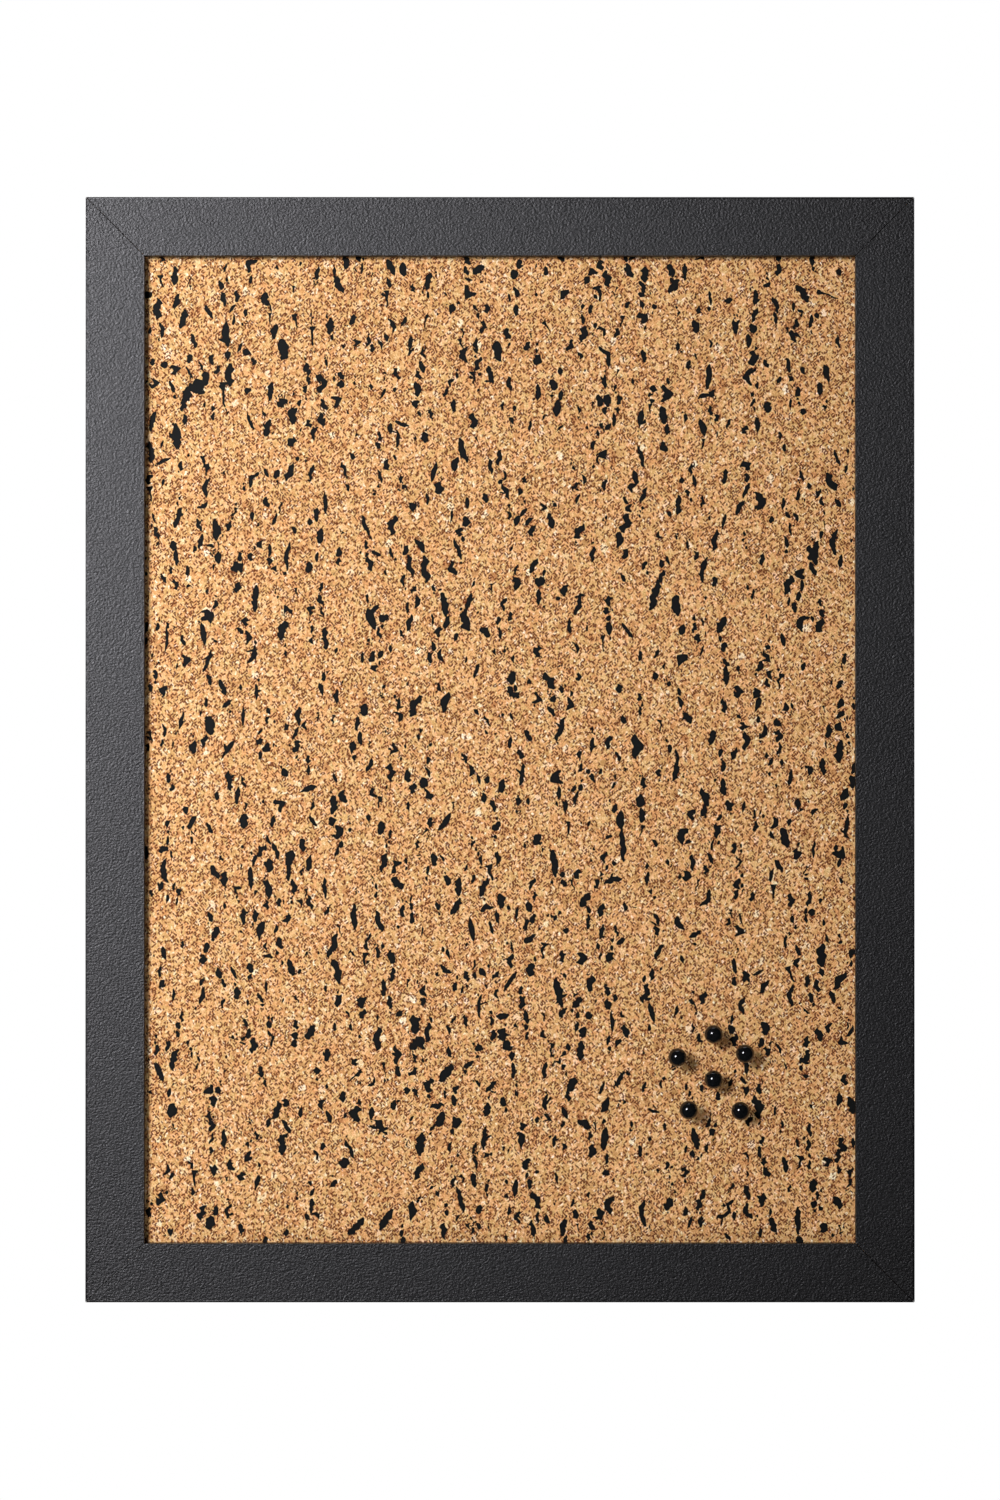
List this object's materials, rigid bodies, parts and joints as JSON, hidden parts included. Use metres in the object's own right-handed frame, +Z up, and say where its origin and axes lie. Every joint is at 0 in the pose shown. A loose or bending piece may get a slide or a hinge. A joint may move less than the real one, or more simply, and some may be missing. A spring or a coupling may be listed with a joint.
{
  "type": "cork bulletin board",
  "caption": "Framed cork board for a wall: mitred dark frame, decorative cork over a black layer, ball-headed pins that pull out, and hinged D-ring hangers.",
  "frame": {"origin": "middle of the board on the wall plane, where the back faces of the wall pads lie", "axes": "+X to the right as seen from the front, +Z up, the cork faces -Y and the wall is on the +Y side"},
  "size_m": [0.45, 0.037, 0.6],
  "materials": {
    "frame_board": "raw fibreboard",
    "frame_foil": "dark charcoal foil, fine grain, semi-matt",
    "cork": "natural granulated cork, matt",
    "underlay": "black, matt",
    "softboard": "wood-fibre softboard",
    "backing": "brown hardboard",
    "steel": "zinc plated",
    "screw_steel": "yellow zinc plated",
    "pad_rubber": "matt",
    "pin_plastic": "high gloss black"
  },
  "bodies": {
    "board": {"top_rail": "frame_board", "right_stile": "frame_board", "bottom_rail": "frame_board", "left_stile": "frame_board", "top_wrap": "frame_foil", "right_wrap": "frame_foil", "bottom_wrap": "frame_foil", "left_wrap": "frame_foil", "cork_sheet": "cork", "black_underlay": "underlay", "softboard_core": "softboard", "backing_board": "backing", "v_nails": "steel", "retaining_points": "steel", "hanger_strap_left": "steel", "hanger_strap_right": "steel", "hanger_screws": "screw_steel", "wall_pad_top_left": "pad_rubber", "wall_pad_top_right": "pad_rubber", "wall_pad_bottom_left": "pad_rubber", "wall_pad_bottom_right": "pad_rubber"},
    "left_ring": {"hanger_ring_left": "steel"},
    "right_ring": {"hanger_ring_right": "steel"},
    "pin_top": {"pin_top_head": "pin_plastic", "pin_top_needle": "steel"},
    "pin_upper_left": {"pin_upper_left_head": "pin_plastic", "pin_upper_left_needle": "steel"},
    "pin_upper_right": {"pin_upper_right_head": "pin_plastic", "pin_upper_right_needle": "steel"},
    "pin_middle": {"pin_middle_head": "pin_plastic", "pin_middle_needle": "steel"},
    "pin_lower_left": {"pin_lower_left_head": "pin_plastic", "pin_lower_left_needle": "steel"},
    "pin_lower_right": {"pin_lower_right_head": "pin_plastic", "pin_lower_right_needle": "steel"}
  },
  "joints": [
    {"name": "left_ring_hinge", "type": "hinge", "parent": "board", "child": "left_ring", "pos_m": [-0.213, -0.00262, 0.2], "axis": [1, 0, 0], "range_deg": [0, 180]},
    {"name": "right_ring_hinge", "type": "hinge", "parent": "board", "child": "right_ring", "pos_m": [0.213, -0.00262, 0.2], "axis": [1, 0, 0], "range_deg": [0, 180]},
    {"name": "pin_top_slide", "type": "slide", "parent": "board", "child": "pin_top", "axis": [0, -1, 0], "range_m": [0, 0.03]},
    {"name": "pin_upper_left_slide", "type": "slide", "parent": "board", "child": "pin_upper_left", "axis": [0, -1, 0], "range_m": [0, 0.03]},
    {"name": "pin_upper_right_slide", "type": "slide", "parent": "board", "child": "pin_upper_right", "axis": [0, -1, 0], "range_m": [0, 0.03]},
    {"name": "pin_middle_slide", "type": "slide", "parent": "board", "child": "pin_middle", "axis": [0, -1, 0], "range_m": [0, 0.03]},
    {"name": "pin_lower_left_slide", "type": "slide", "parent": "board", "child": "pin_lower_left", "axis": [0, -1, 0], "range_m": [0, 0.03]},
    {"name": "pin_lower_right_slide", "type": "slide", "parent": "board", "child": "pin_lower_right", "axis": [0, -1, 0], "range_m": [0, 0.03]}
  ]
}
